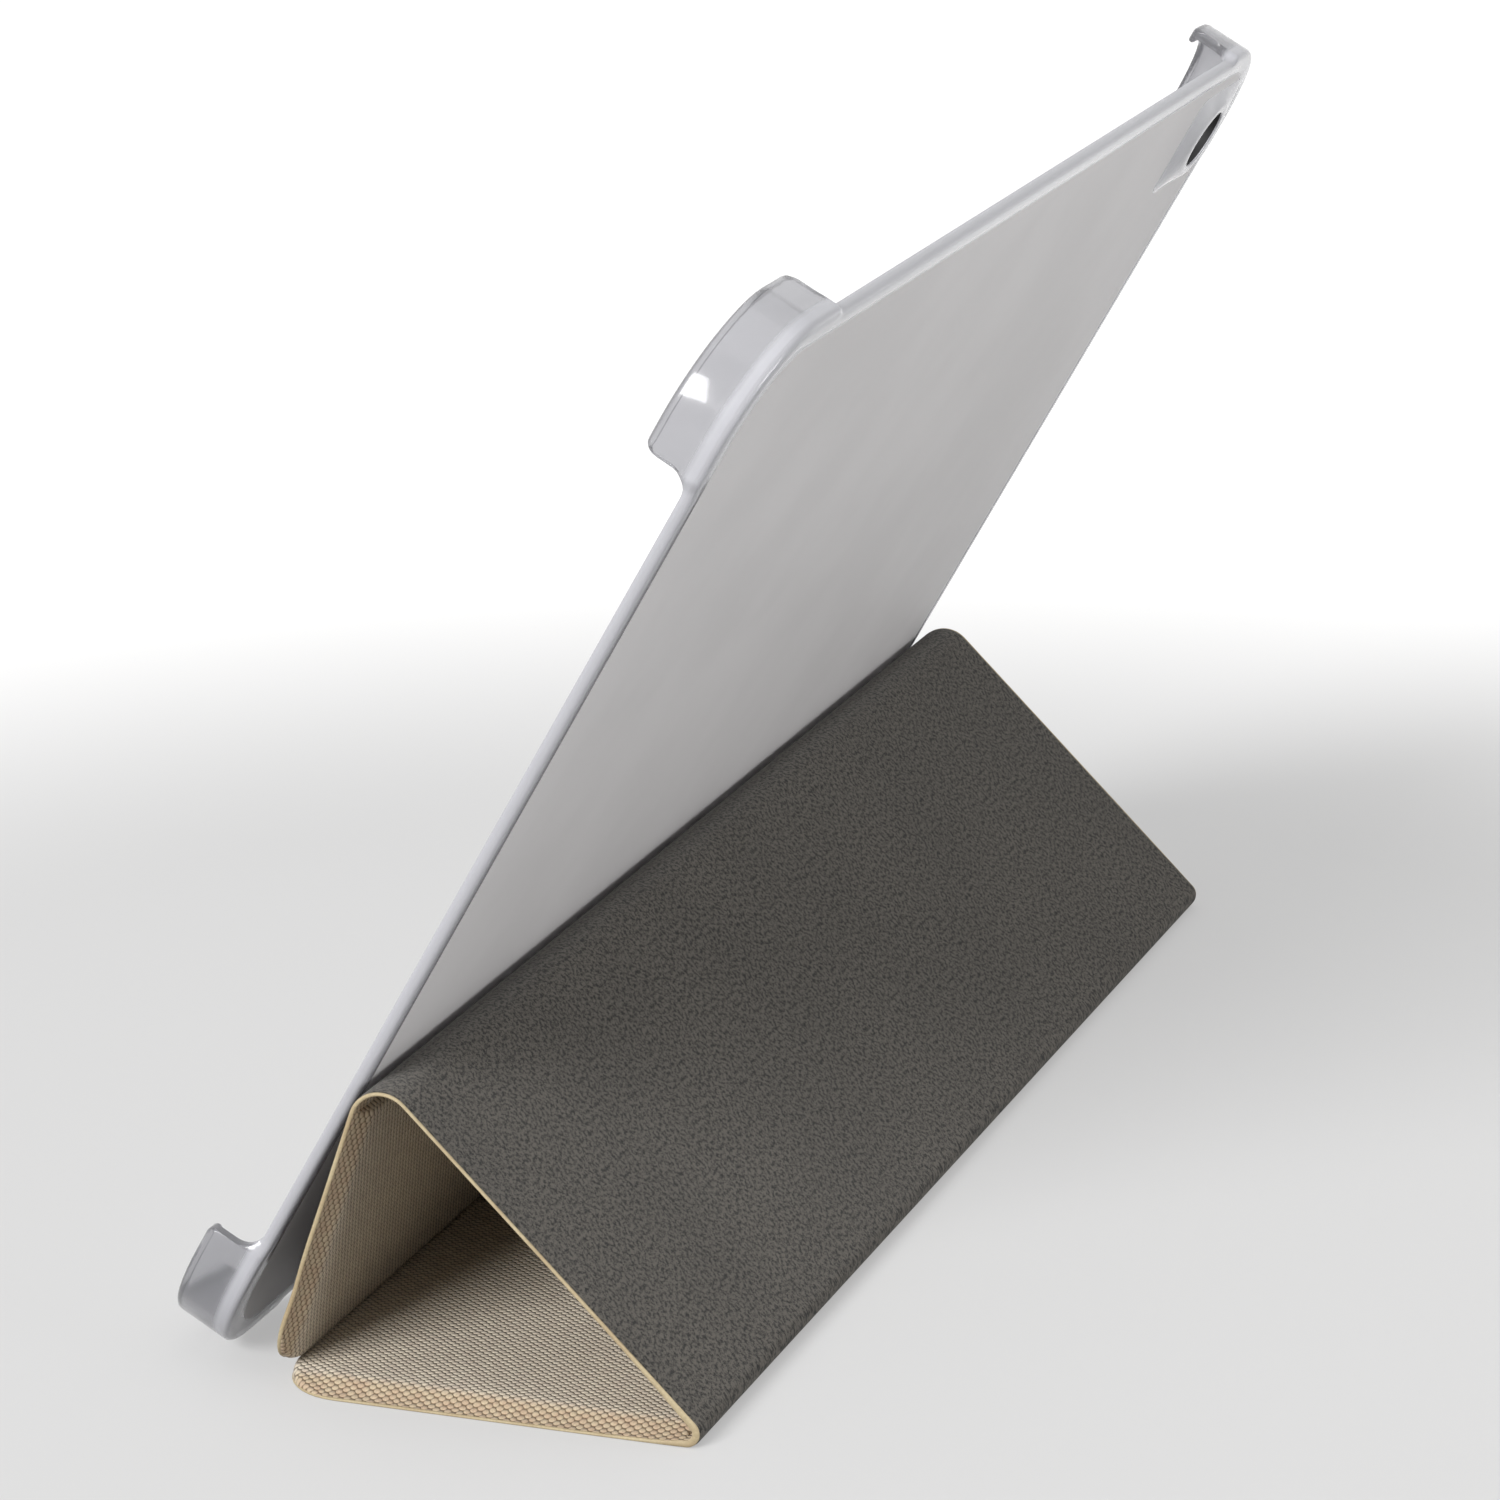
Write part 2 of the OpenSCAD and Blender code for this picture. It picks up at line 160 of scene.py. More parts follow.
def make(name, points, faces, materials, cloth=None, sharp=35):
    """A mesh object from points in millimetres. cloth is the flat place of each point."""
    mesh = bpy.data.meshes.new(name)
    mesh.from_pydata([tuple(p) for p in np.asarray(points) * MM], [], faces)
    if cloth is not None:
        flat = mesh.attributes.new("cloth", "FLOAT_VECTOR", "POINT")
        data = np.zeros((len(points), 3), np.float32)
        data[:, :np.shape(cloth)[1]] = cloth
        flat.data.foreach_set("vector", data.ravel())
    work = bmesh.new()
    work.from_mesh(mesh)
    bmesh.ops.recalc_face_normals(work, faces=work.faces)
    work.to_mesh(mesh)
    work.free()
    mesh.shade_smooth()
    mesh.set_sharp_from_angle(angle=math.radians(sharp))
    for material in materials:
        mesh.materials.append(material)
    obj = bpy.data.objects.new(name, mesh)
    bpy.context.scene.collection.objects.link(obj)
    return obj


def rim_of_grid(rows, cols):
    """Indices round the border of a grid, in order."""
    top = [j for j in range(cols)]
    right = [i * cols + cols - 1 for i in range(1, rows)]
    bottom = [(rows - 1) * cols + j for j in range(cols - 2, -1, -1)]
    left = [i * cols for i in range(rows - 2, 0, -1)]
    return top + right + bottom + left


def slab(name, outer, inner, cloth, material, sharp=35):
    """A closed sheet between two grids of points with the same layout."""
    rows, cols = outer.shape[:2]
    count = rows * cols
    faces = faces_of_grid(rows, cols) + faces_of_grid(rows, cols, count)
    rim = rim_of_grid(rows, cols)
    for a, b in zip(rim, rim[1:] + rim[:1]):
        faces.append((a, b, b + count, a + count))
    points = np.concatenate([outer.reshape(-1, 3), inner.reshape(-1, 3)])
    flat = np.concatenate([cloth.reshape(-1, 2), cloth.reshape(-1, 2)])
    return make(name, points, faces, [material], flat, sharp)


def capped_faces(rings):
    """Faces of a sweep: rings[i] is the same closed section at each station. Ends are capped."""
    stations, around = rings.shape[:2]
    faces = faces_of_grid(stations, around, close_cols=True)
    faces.append(tuple(range(around)))
    faces.append(tuple((stations - 1) * around + j for j in range(around)))
    return faces


def tube(name, rings, cloth, material):
    """A closed sweep of a section, with its ends capped."""
    points = rings.reshape(-1, 3)
    return make(name, points, capped_faces(rings), [material], cloth.reshape(-1, 2), SHARP_TUBE)


def join(name, parts):
    """One object from several, with the first one's materials."""
    bpy.ops.object.select_all(action="DESELECT")
    for part in parts:
        part.select_set(True)
    bpy.context.view_layer.objects.active = parts[0]
    bpy.ops.object.join()
    parts[0].name = name
    parts[0].data.name = name
    return parts[0]


def boolean(obj, other, operation):
    """Joins other to obj or cuts it away, and deletes other."""
    change = obj.modifiers.new("change", "BOOLEAN")
    change.object = other
    change.operation = operation
    change.solver = "EXACT"
    bpy.context.view_layer.update()
    graph = bpy.context.evaluated_depsgraph_get()
    mesh = bpy.data.meshes.new_from_object(obj.evaluated_get(graph))
    obj.modifiers.clear()
    old = obj.data
    obj.data = mesh
    mesh.name = obj.name
    bpy.data.meshes.remove(old)
    bpy.data.objects.remove(other)


# ---- places ----

def turn_x(points, degrees):
    a = math.radians(degrees)
    x, y, z = points[..., 0], points[..., 1], points[..., 2]
    return np.stack([x, y * math.cos(a) - z * math.sin(a), y * math.sin(a) + z * math.cos(a)], -1)


def in_tray(points):
    """From the tray's own x, s up the plate and t off the tablet's back, to the row frame."""
    return turn_x(points, TRAY_ANGLE) + (0, TRAY_Y, TRAY_LIFT)


def in_base(points):
    return points


def in_slope(points):
    return turn_x(points - (0, 0, CANVAS_Z), SLOPE_DIR) + (0, *FRONT_AXIS)


def in_lean(points):
    """The leaning panel, with its ends drawn in a little where the cloth has crept."""
    x, y, z = points[..., 0], points[..., 1], points[..., 2]
    near_end = np.clip((np.abs(x) - CREEP_FROM) / (HALF - CREEP_FROM), 0, 1) ** 2
    creep = sum(much * np.exp(-((y - place) / width) ** 2) for much, place, width in CREEP)
    moved = np.stack([x - np.sign(x) * creep * near_end, y, z], -1)
    return turn_x(moved - (0, 0, CANVAS_Z), LEAN_DIR) + (0, *RIDGE_AXIS)


def on_arc(centre, radius, arc):
    """Bends y, here an angle in degrees, and z, the depth under the lining face, round centre.

    A degree past either end of the arc is FOLD_GAP of flat cloth, to meet the panel there.
    """
    def place(points):
        a = np.radians(np.clip(points[..., 1], *arc))
        flat = (points[..., 1] - np.degrees(a)) * FOLD_GAP
        r = radius - points[..., 2]
        return np.stack([points[..., 0], centre[0] + r * np.cos(a) - flat * np.sin(a),
                         centre[1] + r * np.sin(a) + flat * np.cos(a)], -1)
    return place


# ---- node materials ----

class Nodes:
    """A material's node tree, with one short call for each node."""

    def __init__(self, name):
        self.material = bpy.data.materials.new(name)
        self.material.use_nodes = True
        self.tree = self.material.node_tree
        self.tree.nodes.clear()
        self.out = self.tree.nodes.new("ShaderNodeOutputMaterial")

    def link(self, value, socket):
        if isinstance(value, bpy.types.NodeSocket):
            self.tree.links.new(value, socket)
        elif value is not None:
            socket.default_value = value

    def add(self, kind, **settings):
        node = self.tree.nodes.new(kind)
        for key, value in settings.items():
            setattr(node, key, value)
        return node

    def math(self, operation, a, b=None, c=None):
        node = self.add("ShaderNodeMath", operation=operation)
        for value, socket in zip((a, b, c), node.inputs):
            self.link(value, socket)
        return node.outputs[0]

    def vector(self, operation, a, b=None):
        node = self.add("ShaderNodeVectorMath", operation=operation)
        self.link(a, node.inputs[0])
        self.link(b, node.inputs[1])
        return node.outputs[0]

    def flat(self):
        """The cloth's own flat place, in millimetres."""
        return self.add("ShaderNodeAttribute", attribute_name="cloth").outputs["Vector"]

    def place(self):
        """Place in the object's own frame, in millimetres."""
        place = self.add("ShaderNodeTexCoord").outputs["Object"]
        return self.vector("MULTIPLY", place, (1000, 1000, 1000))

    def split(self, vector):
        node = self.add("ShaderNodeSeparateXYZ")
        self.link(vector, node.inputs[0])
        return node.outputs[0], node.outputs[1], node.outputs[2]

    def noise(self, vector, scale, detail=2, rough=0.5, stretch=(1, 1, 1), distort=0):
        node = self.add("ShaderNodeTexNoise")
        self.link(self.vector("MULTIPLY", vector, stretch), node.inputs["Vector"])
        node.inputs["Scale"].default_value = scale
        node.inputs["Detail"].default_value = detail
        node.inputs["Roughness"].default_value = rough
        node.inputs["Distortion"].default_value = distort
        return node.outputs["Fac"]

    def ramp(self, value, low, high, to_low=0.0, to_high=1.0, smooth=True):
        node = self.add("ShaderNodeMapRange", interpolation_type="SMOOTHSTEP" if smooth else "LINEAR")
        self.link(value, node.inputs["Value"])
        for key, number in (("From Min", low), ("From Max", high),
                            ("To Min", to_low), ("To Max", to_high)):
            self.link(number, node.inputs[key])
        return node.outputs["Result"]

    def mix(self, factor, a, b, blend="MIX"):
        node = self.add("ShaderNodeMix", data_type="RGBA", blend_type=blend)
        self.link(factor, node.inputs[0])
        self.link(a, node.inputs[6])
        self.link(b, node.inputs[7])
        return node.outputs[2]

    def grey(self, value):
        node = self.add("ShaderNodeCombineColor")
        for socket in node.inputs[:3]:
            self.link(value, socket)
        return node.outputs[0]

    def bump(self, height, distance, strength=1.0):
        node = self.add("ShaderNodeBump")
        node.inputs["Strength"].default_value = strength
        node.inputs["Distance"].default_value = distance * MM
        self.link(height, node.inputs["Height"])
        return node.outputs[0]

    def finish(self, **values):
        """Ends the material in a Principled shader, with sockets given by their names."""
        shader = self.add("ShaderNodeBsdfPrincipled")
        for key, value in values.items():
            self.link(value, shader.inputs[key.replace("_", " ")])
        self.tree.links.new(shader.outputs[0], self.out.inputs["Surface"])
        return self.material


def rgb(red, green, blue):
    """A colour as it looks on screen, from 0 to 255, as the linear colour that a shader takes."""
    linear = [((c / 255 + 0.055) / 1.055) ** 2.4 if c > 10 else c / 255 / 12.92
              for c in (red, green, blue)]
    return (*linear, 1)


def canvas_material():
    """Coarse canvas: cream threads along the folds, each one floating in staggered bumps."""
    n = Nodes("canvas")
    flat = n.flat()
    x, y, _ = n.split(flat)
    wander = n.math("MULTIPLY", n.math("SUBTRACT", n.noise(flat, 0.3, 2), 0.5), 0.45)
    c, s = math.cos(math.radians(GRAIN_TURN)), math.sin(math.radians(GRAIN_TURN))
    u = n.math("SUBTRACT", n.math("MULTIPLY", x, c), n.math("MULTIPLY", y, s))
    v = n.math("ADD", n.math("MULTIPLY", x, s), n.math("MULTIPLY", y, c))
    u = n.math("ADD", u, wander)
    v = n.math("SUBTRACT", v, wander)
    bump = 0.0
    for shift_u, shift_v in ((0, 0), (FLOAT_X, FLOAT_Y)):
        du = n.math("WRAP", n.math("ADD", u, shift_u), -FLOAT_X, FLOAT_X)
        dv = n.math("WRAP", n.math("ADD", v, shift_v), -FLOAT_Y, FLOAT_Y)
        along = n.math("POWER", n.math("ABSOLUTE", n.math("DIVIDE", du, FLOAT_X * FLOAT_FULL[0])), 2.0)
        across = n.math("POWER", n.math("ABSOLUTE", n.math("DIVIDE", dv, FLOAT_Y * FLOAT_FULL[1])), 2.0)
        bump = n.math("MAXIMUM", bump, n.math("SUBTRACT", 1.0, n.math("ADD", along, across)))
    float_height = n.math("SQRT", bump)
    fibre = n.noise(flat, 4.0, 3, 0.6, stretch=(0.5, 1, 1))
    tint = n.noise(flat, 0.55, 2, 0.5)
    patch = n.noise(flat, 0.045, 3, 0.6)
    end = n.ramp(n.math("ABSOLUTE", x), HALF - ROLL_END - 0.5, HALF - ROLL_END + 2)
    cream = n.mix(n.ramp(tint, 0.35, 0.65), rgb(222, 211, 192), rgb(212, 199, 182))
    warm = n.mix(n.ramp(tint, 0.35, 0.65), rgb(204, 186, 158), rgb(198, 174, 148))
    gap = n.mix(end, rgb(86, 77, 62), rgb(104, 82, 56))
    colour = n.mix(n.ramp(bump, -0.2, 0.42), gap, n.mix(end, cream, warm))
    shade = n.math("MULTIPLY", n.ramp(fibre, 0.3, 0.7, 0.86, 1.06), n.ramp(patch, 0.3, 0.7, 0.95, 1.03))
    colour = n.mix(1.0, colour, n.grey(shade), "MULTIPLY")
    height = n.math("ADD", float_height, n.math("MULTIPLY", fibre, 0.2))
    return n.finish(Base_Color=colour, Roughness=0.85, Normal=n.bump(height, 0.26, 1.0),
                    Sheen_Weight=0.1, Sheen_Roughness=0.5, Specular_IOR_Level=0.2)


def lining_material():
    """Dark warm grey suede with a fine speckled nap."""
    n = Nodes("lining")
    flat = n.flat()
    grain = n.noise(flat, 1.5, 3, 0.65, distort=0.3)
    fine = n.noise(flat, 5.0, 2, 0.6)
    patch = n.noise(flat, 0.03, 3, 0.55)
    mixed = n.math("ADD", n.math("MULTIPLY", grain, 0.7), n.math("MULTIPLY", fine, 0.3))
    shade = n.ramp(mixed, 0.4, 0.57, 0.08, 1.42)
    shade = n.math("MULTIPLY", shade, n.ramp(patch, 0.3, 0.7, 0.93, 1.06))
    colour = n.mix(1.0, rgb(80, 76, 70), n.grey(shade), "MULTIPLY")
    normal = n.bump(mixed, 0.12, 0.7)
    return n.finish(Base_Color=colour, Roughness=0.92, Normal=normal, Sheen_Weight=0.12,
                    Sheen_Roughness=0.6, Specular_IOR_Level=0.2)


def edge_material():
    """Cream edge paint, a little uneven and browner in patches."""
    n = Nodes("edge_paint")
    place = n.place()
    patch = n.noise(place, 0.12, 3, 0.6)
    grain = n.noise(place, 2.5, 3, 0.6)
    colour = n.mix(n.ramp(patch, 0.35, 0.7), rgb(186, 171, 138), rgb(168, 149, 117))
    colour = n.mix(1.0, colour, n.grey(n.ramp(grain, 0.3, 0.7, 0.88, 1.06)), "MULTIPLY")
    normal = n.bump(grain, 0.05, 0.5)
    return n.finish(Base_Color=colour, Roughness=0.6, Normal=normal, Specular_IOR_Level=0.35)


def board_material():
    n = Nodes("board")
    grain = n.noise(n.place(), 1.2, 4, 0.6)
    colour = n.mix(grain, rgb(150, 148, 142), rgb(176, 174, 168))
    return n.finish(Base_Color=colour, Roughness=0.7, Normal=n.bump(grain, 0.05, 0.4))


def steel_material(name, low, high, rough):
    n = Nodes(name)
    brushed = n.noise(n.place(), 3.0, 3, 0.6, stretch=(0.05, 1, 1))
    colour = n.mix(brushed, low, high)
    roughness = n.ramp(brushed, 0.3, 0.7, rough, rough + 0.12)
    return n.finish(Base_Color=colour, Metallic=1.0, Roughness=roughness,
                    Normal=n.bump(brushed, 0.02, 0.3))


def tray_material():
    """Clear plastic: frosted over the middle of the plate, polished round it and on the corners."""
    n = Nodes("clear_plastic")
    x, y, z = n.split(n.place())
    c, s = math.cos(math.radians(TRAY_ANGLE)), math.sin(math.radians(TRAY_ANGLE))
    dy = n.math("SUBTRACT", y, TRAY_Y)
    dz = n.math("SUBTRACT", z, TRAY_LIFT)
    up = n.math("ADD", n.math("MULTIPLY", dy, c), n.math("MULTIPLY", dz, s))
    off = n.math("SUBTRACT", n.math("MULTIPLY", dz, c), n.math("MULTIPLY", dy, s))

    def inside(centre, half_len, half_wid, radius):
        """1 inside a rounded rectangle on the plate, 0 outside."""
        off_x = n.math("ABSOLUTE", n.math("SUBTRACT", x, centre[0]))
        off_y = n.math("ABSOLUTE", n.math("SUBTRACT", up, centre[1]))
        ax = n.math("SUBTRACT", off_x, half_len - radius)
        ay = n.math("SUBTRACT", off_y, half_wid - radius)
        ax0 = n.math("MAXIMUM", ax, 0.0)
        ay0 = n.math("MAXIMUM", ay, 0.0)
        out = n.math("SQRT", n.math("ADD", n.math("MULTIPLY", ax0, ax0), n.math("MULTIPLY", ay0, ay0)))
        core = n.math("MINIMUM", n.math("MAXIMUM", ax, ay), 0.0)
        distance = n.math("SUBTRACT", n.math("ADD", out, core), radius)
        return n.ramp(distance, -FROST_BLUR, FROST_BLUR, 1.0, 0.0)

    plate = inside((0, TABLET_WID / 2), TABLET_LEN / 2 - FROST_IN, TABLET_WID / 2 - FROST_IN,
                   TABLET_CORNER - FROST_IN)
    round_window = inside((WINDOW_X, WINDOW_S), COLLAR_LEN / 2 + COLLAR_CLEAR,
                          COLLAR_WID / 2 + COLLAR_CLEAR, COLLAR_CORNER)
    low = n.ramp(off, 0.3, 0.6, 1.0, 0.0)
    frost = n.math("MULTIPLY", n.math("MULTIPLY", plate, low), n.math("SUBTRACT", 1.0, round_window))
    haze = n.noise(n.place(), 0.03, 3, 0.5)
    grain = n.noise(n.place(), 6.0, 2, 0.5)
    frosted = n.mix(n.ramp(haze, 0.3, 0.7), rgb(220, 218, 218), rgb(226, 224, 224))
    walls = n.ramp(off, 0.6, 2.0)
    polished = n.mix(walls, rgb(204, 204, 209), rgb(184, 184, 188))
    colour = n.mix(frost, polished, frosted)
    rough = n.ramp(frost, 0, 1, 0.13, 0.55, smooth=False)
    through = n.ramp(walls, 0, 1, 0.32, 0.82, smooth=False)
    clear = n.math("MULTIPLY", through, n.ramp(frost, 0, 1, 1.0, 0.55, smooth=False))
    height = n.math("MULTIPLY", grain, frost)
    return n.finish(Base_Color=colour, Roughness=rough, Transmission_Weight=clear, IOR=1.45,
                    Normal=n.bump(height, 0.01, 0.3))


def black_material():
    n = Nodes("window_black")
    grain = n.noise(n.place(), 3.0, 2, 0.5)
    colour = n.mix(grain, rgb(14, 14, 15), rgb(24, 24, 25))
    return n.finish(Base_Color=colour, Roughness=0.5, Normal=n.bump(grain, 0.01, 0.3))


canvas = canvas_material()
lining = lining_material()
edge_paint = edge_material()
board = board_material()
plating = steel_material("magnet_plating", rgb(196, 194, 190), rgb(214, 213, 210), 0.16)
keeper = steel_material("keeper_steel", rgb(150, 150, 152), rgb(180, 180, 182), 0.3)
clear = tray_material()
window_black = black_material()


# ---- cover panels ----

EDGE_STEPS = [0, 0.2, 0.6, 1.1, 1.7, 2.3, 2.9, 3.5, 4.1, 4.7, 5.4, 6.6]
CORNER_STEPS = 10


def row_places(y0, y1, free0, free1, radius):
    """y of each row, and how far its ends are drawn in by the quarter circles of free corners."""
    quarter = [math.radians(90 * i / CORNER_STEPS) for i in range(CORNER_STEPS + 1)]
    corner = [(radius * (1 - math.cos(a)), radius * (1 - math.sin(a))) for a in quarter]
    fold = [(FOLD_ROLL * share, 0) for share in (0, 0.1, 0.25, 0.5, 0.75, 1)]
    start = [(y0 + dy, dx) for dy, dx in (corner if free0 else fold)]
    stop = [(y1 - dy, dx) for dy, dx in reversed(corner if free1 else fold)]
    lo, hi = start[-1][0], stop[0][0]
    count = max(2, round((hi - lo) / 2.5))
    middle = [(lo + (hi - lo) * i / count, 0) for i in range(1, count)]
    return start + middle + stop


def column_places(half):
    """x of each column of a row that reaches half each way."""
    inner = half - EDGE_STEPS[-1]
    count = 56
    middle = [-inner + 2 * inner * i / count for i in range(1, count)]
    return [-half + e for e in EDGE_STEPS] + middle + [half - e for e in reversed(EDGE_STEPS)]


def edge_distance(x, y, y0, y1, free0, free1, half, radius):
    """Distance in from the free outline, and the way out of it."""
    dx = half - np.abs(x)
    d0 = (y - y0) if free0 else np.full_like(y, 1e3)
    d1 = (y1 - y) if free1 else np.full_like(y, 1e3)
    dy = np.minimum(d0, d1)
    sign_x = np.sign(x)
    sign_y = np.where(d0 < d1, -1.0, 1.0)
    vx, vy = np.maximum(radius - dx, 0), np.maximum(radius - dy, 0)
    length = np.hypot(vx, vy)
    corner = (dx < radius) & (dy < radius)
    distance = np.where(corner, radius - length, np.minimum(dx, dy))
    safe = np.maximum(length, 1e-6)
    out_x = np.where(corner, sign_x * vx / safe, np.where(dx < dy, sign_x, 0))
    out_y = np.where(corner, sign_y * vy / safe, np.where(dx < dy, 0, sign_y))
    return np.maximum(distance, 0), out_x, out_y


def panel_grid(span, free, inset):
    """Flat points of a panel, drawn in by inset at its free edges, with their edge distances."""
    half = HALF - inset
    radius = COVER_CORNER - inset
    y0 = span[0] + (inset if free[0] else 0)
    y1 = span[1] - (inset if free[1] else 0)
    rows = row_places(y0, y1, *free, radius)
    xs = np.array([column_places(half - dx) for _, dx in rows])
    ys = np.repeat([[y] for y, _ in rows], xs.shape[1], axis=1).astype(float)
    distance, out_x, out_y = edge_distance(xs, ys, y0, y1, *free, half, radius)
    return xs, ys, distance, out_x, out_y


ROLL_TABLE = np.linspace(0, 1, 41)


def roll_height(distance, low, high, out_x, out_y):
    """Height of the canvas: pressed down gently at the cover's ends, and round at its long edges."""
    soft = np.clip(distance / ROLL_END, 0, 1) ** 1.15
    soft = soft * soft * (3 - 2 * soft)
    round_edge = np.sqrt(1 - (1 - np.clip(distance / ROLL_LONG, 0, 1)) ** 2)
    share = soft * out_x ** 2 + round_edge * out_y ** 2
    return low + (high - low) * np.where(distance < ROLL_END, share, 1)


def roll_length(distance, low, high):
    """Extra cloth that the roll takes up between its start and a point at that distance."""
    steps = ROLL_TABLE * ROLL_END
    pieces = np.hypot(np.diff(steps), np.diff(roll_height(steps, low, high, 1, 0)))
    total = np.concatenate([[0], np.cumsum(pieces)])
    near = np.clip(distance, 0, ROLL_END)
    return total[-1] - np.interp(near, steps, total) - (ROLL_END - near)


def pressed(distance):
    """Depth of the lining's face, which is pressed in a little at its rim."""
    return 0.18 - 0.18 * np.sqrt(1 - (1 - np.clip(distance / 0.9, 0, 1)) ** 2)


def edge_base(y):
    return EDGE_H + EDGE_FRONT * np.exp((y - BASE_Y[1]) / 4)


def edge_slope(y):
    return EDGE_H + EDGE_FRONT * np.exp((SLOPE_Y[0] - y) / 10)


def edge_lean(y):
    return EDGE_H + EDGE_LEAN + 0 * y


def crown(y, span, free):
    """Height of the canvas away from its edges: it drops round to the thin cloth at each fold."""
    off = np.full_like(y, FOLD_ROLL)
    if not free[0]:
        off = np.minimum(off, y - span[0])
    if not free[1]:
        off = np.minimum(off, span[1] - y)
    return FOLD_T + (PANEL_T - FOLD_T) * np.sqrt(1 - (1 - np.clip(off / FOLD_ROLL, 0, 1)) ** 2)


def canvas_layer(name, span, free, place, shift, edge_of):
    """The canvas over a panel, pressed down to the painted edge at its free edges."""
    xs, ys, distance, out_x, out_y = panel_grid(span, free, BEAD_IN)
    top = roll_height(distance, edge_of(ys) - 0.04, crown(ys, span, free), out_x, out_y)
    under = np.maximum(top - CANVAS_T, 0.25)
    extra = roll_length(distance, EDGE_H, PANEL_T)
    cloth = np.stack([xs + out_x * extra, ys + shift + out_y * extra], -1)
    outer = place(np.stack([xs, ys, top], -1))
    inner = place(np.stack([xs, ys, under], -1))
    return slab(name, outer, inner, cloth, canvas, sharp=50)


def lining_layer(name, span, free, place, shift):
    """The suede lining, inside the painted edge, with its rim pressed down a little."""
    xs, ys, distance, out_x, out_y = panel_grid(span, free, LINING_IN)
    outer = place(np.stack([xs, ys, pressed(distance)], -1))
    inner = place(np.stack([xs, ys, np.full_like(xs, SUEDE_T)], -1))
    return slab(name, outer, inner, np.stack([xs, ys + shift], -1), lining, sharp=50)


# Section of the painted edge: distance in from the outline, and share of its height.
BEAD = [(0.6, 0.3), (0.36, 0.1), (0.2, 0.12), (0.07, 0.24), (0.0, 0.5), (0.02, 0.74),
        (0.12, 0.93), (0.26, 1.0), (0.6, 0.85)]


def outline_path(span, free):
    """Points and ways out along the free outline of a panel, as separate runs."""
    y0, y1 = span
    r = COVER_CORNER
    count = max(2, round((y1 - y0) / 3))
    if not any(free):
        ys = np.linspace(y0, y1, count + 1)
        return [[((side * HALF, y), (side, 0)) for y in ys] for side in (1, -1)]
    end, far = (y0, y1) if free[0] else (y1, y0)
    way = 1 if far > end else -1
    run = [((HALF, y), (1, 0)) for y in np.linspace(far, end + way * r, count)]
    for side in (1, -1):
        centre = (side * (HALF - r), end + way * r)
        angles = [math.radians(a) for a in range(0, 91, 9)]
        arc = [(math.cos(a) * side, -math.sin(a) * way) for a in angles]
        if side < 0:
            arc = arc[::-1]
            run += [((x, end), (0, -way)) for x in np.linspace(HALF - r, -HALF + r, 80)[1:-1]]
        run += [((centre[0] + r * dx, centre[1] + r * dy), (dx, dy)) for dx, dy in arc]
    run += [((-HALF, y), (-1, 0)) for y in np.linspace(end + way * r, far, count)[1:]]
    return [run]


def edge_layer(name, span, free, place, edge_of):
    """The painted edge: a rounded bead along the cover's free edges."""
    parts = []
    for k, run in enumerate(outline_path(span, free)):
        rings = np.array([[(p[0] - o[0] * e, p[1] - o[1] * e, share * edge_of(p[1]))
                           for e, share in BEAD] for p, o in run])
        parts.append(tube(f"{name}_{k}", place(rings), rings[..., :2], edge_paint))
    return join(name, parts) if len(parts) > 1 else renamed(parts[0], name)


def renamed(obj, name):
    obj.name = name
    obj.data.name = name
    return obj


def dress(obj, body, slot, *nodes):
    """Puts a piece on its body and hides the CAD nodes that it stands for."""
    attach(obj, body)
    if nodes:
        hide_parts(*nodes)
    return obj


FREE_START, FREE_END, FREE_NONE = (True, False), (False, True), (False, False)
PANELS = [
    ("base", (BASE_Y[0], BASE_Y[1] - FOLD_GAP), FREE_START, in_base, 0, edge_base),
    ("slope", SLOPE_Y, FREE_NONE, in_slope, FRONT_AXIS[0], edge_slope),
    ("lean", (LEAN_Y[0], LEAN_Y[1] + FOOT_LOW), FREE_END, in_lean, FRONT_AXIS[0] + RIDGE_REACH,
     edge_lean),
]
POCKETS = {"base": ["base_keepers"], "slope": [], "lean": ["foot_magnets", "wake_magnets"]}


def board_layer(name, span, free, place, pockets):
    """The hidden stiff board of a panel, with pockets for its magnets or steel strips."""
    x = HALF - BOARD_IN
    y0 = span[0] + (BOARD_BACK if free[0] else FOLD_ROLL + 0.1)
    y1 = span[1] - (FOOT_LOW + BOARD_BACK if free[1] else FOLD_ROLL + 0.1)
    cut0, cut1 = (BOARD_CUT if free[0] else 1), (BOARD_CUT if free[1] else 1)
    outline = [(x, y1 - cut1), (x - cut1, y1), (cut1 - x, y1), (-x, y1 - cut1),
               (-x, y0 + cut0), (cut0 - x, y0), (x - cut0, y0), (x, y0 + cut0)]
    middle = (y0 + y1) / 2
    layers = [(0, LINING_T + 0.03), (0, CANVAS_Z - 0.35), (0.3, CANVAS_Z - 0.02)]
    rings = np.array([[(px - math.copysign(g, px), py - math.copysign(g, py - middle), z)
                       for px, py in outline] for g, z in layers])
    piece = tube(name, place(rings), rings[..., :2], board)
    for node in pockets:
        cutter = bpy.data.objects.new("pocket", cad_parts[node].data.copy())
        bpy.context.scene.collection.objects.link(cutter)
        boolean(piece, cutter, "DIFFERENCE")
    return piece


for panel, span, free, place, shift, edge_of in PANELS:
    dress(canvas_layer(f"{panel}_cloth", span, free, place, shift, edge_of), panel, "canvas",
          f"{panel}_canvas")
    dress(lining_layer(f"{panel}_suede", span, free, place, shift), panel, "microfibre",
          f"{panel}_lining")
    dress(edge_layer(f"{panel}_painted_edge", span, free, place, edge_of), panel, "edge_paint",
          f"{panel}_edge")
    dress(board_layer(f"{panel}_stiffener", span, free, place, POCKETS[panel]), panel, "board",
          f"{panel}_board")


